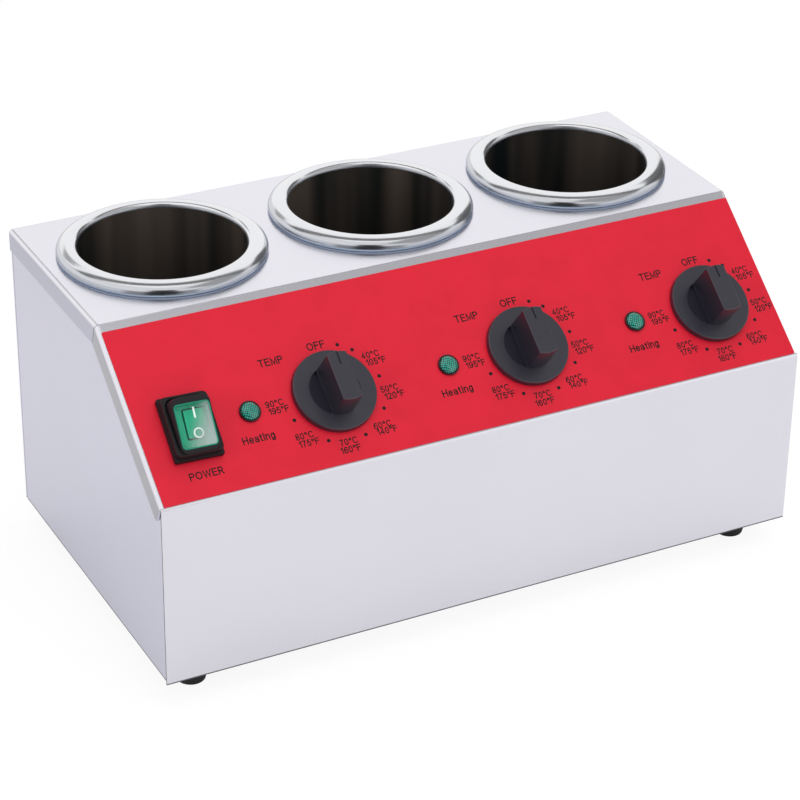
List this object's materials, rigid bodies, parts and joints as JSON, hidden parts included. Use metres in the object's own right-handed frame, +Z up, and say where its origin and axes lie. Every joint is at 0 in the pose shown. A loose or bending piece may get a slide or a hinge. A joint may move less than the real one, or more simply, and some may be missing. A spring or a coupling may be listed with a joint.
{
  "type": "topping warmer",
  "caption": "Counter-top topping warmer: a stainless steel case with round heated wells, a sloping control panel with turn knobs, lamps and a rocker switch, on rubber feet.",
  "frame": {"origin": "on the surface it stands on, under the middle of its overall size", "axes": "+X along the case from the switch end to the plain end, +Y from the front to the back, +Z up"},
  "size_m": [0.42, 0.2508, 0.2112],
  "materials": {
    "brushed_case_steel": "fine brushed stainless sheet, satin",
    "galvanised_sheet": "galvanised sheet, dull",
    "red_overlay": "printed polyester sheet, satin",
    "well_steel": "spun stainless steel with turned marks inside and a polished rim",
    "translucent_silicone": "translucent silicone, satin",
    "heater_sheath": "heat-stained steel sheath over mica",
    "screw_steel": "zinc-plated screw steel",
    "thermostat_case": "plated steel case",
    "brass": "machined brass",
    "charcoal_plastic": "moulded plastic, satin",
    "capillary_copper": "drawn copper tube",
    "green_lens": "translucent green moulding, glossy",
    "green_rocker": "translucent green moulding, glossy",
    "black_plastic": "moulded nylon, satin",
    "clear_boot": "clear soft moulding, glossy",
    "black_nylon": "moulded nylon, satin",
    "ceramic": "glazed ceramic",
    "black_rubber": "moulded rubber, matt"
  },
  "bodies": {
    "case": {"top_cover": "brushed_case_steel", "side_panel_left": "brushed_case_steel", "side_panel_right": "brushed_case_steel", "rear_panel": "brushed_case_steel", "base_plate": "galvanised_sheet", "control_overlay": "red_overlay", "well_1": "well_steel", "well_2": "well_steel", "well_3": "well_steel", "well_gasket_1": "translucent_silicone", "well_gasket_2": "translucent_silicone", "well_gasket_3": "translucent_silicone", "band_heater_1": "heater_sheath", "band_heater_2": "heater_sheath", "band_heater_3": "heater_sheath", "clamp_screw_1": "screw_steel", "clamp_screw_2": "screw_steel", "clamp_screw_3": "screw_steel", "thermostat_1": "thermostat_case", "thermostat_2": "thermostat_case", "thermostat_3": "thermostat_case", "thermostat_nut_1": "brass", "thermostat_nut_2": "brass", "thermostat_nut_3": "brass", "capillary_1": "capillary_copper", "capillary_2": "capillary_copper", "capillary_3": "capillary_copper", "lamp_lens_1": "green_lens", "lamp_lens_2": "green_lens", "lamp_lens_3": "green_lens", "lamp_body_1": "black_plastic", "lamp_body_2": "black_plastic", "lamp_body_3": "black_plastic", "switch_body": "black_plastic", "switch_boot": "clear_boot", "gland_body": "black_nylon", "gland_lock_nut": "black_nylon", "gland_cap": "black_nylon", "terminal_block": "ceramic", "terminal_screw": "screw_steel", "supply_lead": "black_rubber", "foot_front_left": "black_rubber", "foot_front_right": "black_rubber", "foot_back_left": "black_rubber", "foot_back_right": "black_rubber", "foot_screw_front_left": "screw_steel", "foot_screw_front_right": "screw_steel", "foot_screw_back_left": "screw_steel", "foot_screw_back_right": "screw_steel", "rear_screw_lower_left": "screw_steel", "rear_screw_lower_right": "screw_steel", "rear_screw_upper_left": "screw_steel", "rear_screw_upper_right": "screw_steel"},
    "dial_1": {"knob_1": "charcoal_plastic", "thermostat_spindle_1": "brass"},
    "dial_2": {"knob_2": "charcoal_plastic", "thermostat_spindle_2": "brass"},
    "dial_3": {"knob_3": "charcoal_plastic", "thermostat_spindle_3": "brass"},
    "rocker": {"switch_rocker": "green_rocker"}
  },
  "joints": [
    {"name": "knob_1_turn", "type": "hinge", "parent": "case", "child": "dial_1", "pos_m": [-0.088, -0.09287, 0.16267], "axis": [0, 0.6236, -0.7817], "range_deg": [0, 249]},
    {"name": "knob_2_turn", "type": "hinge", "parent": "case", "child": "dial_2", "pos_m": [0.03875, -0.09287, 0.16267], "axis": [0, 0.6236, -0.7817], "range_deg": [0, 249]},
    {"name": "knob_3_turn", "type": "hinge", "parent": "case", "child": "dial_3", "pos_m": [0.1655, -0.09287, 0.16267], "axis": [0, 0.6236, -0.7817], "range_deg": [0, 249]},
    {"name": "rocker_tilt", "type": "hinge", "parent": "case", "child": "rocker", "pos_m": [-0.1781, -0.09311, 0.16056], "axis": [1, 0, 0], "range_deg": [-16, 0]}
  ]
}
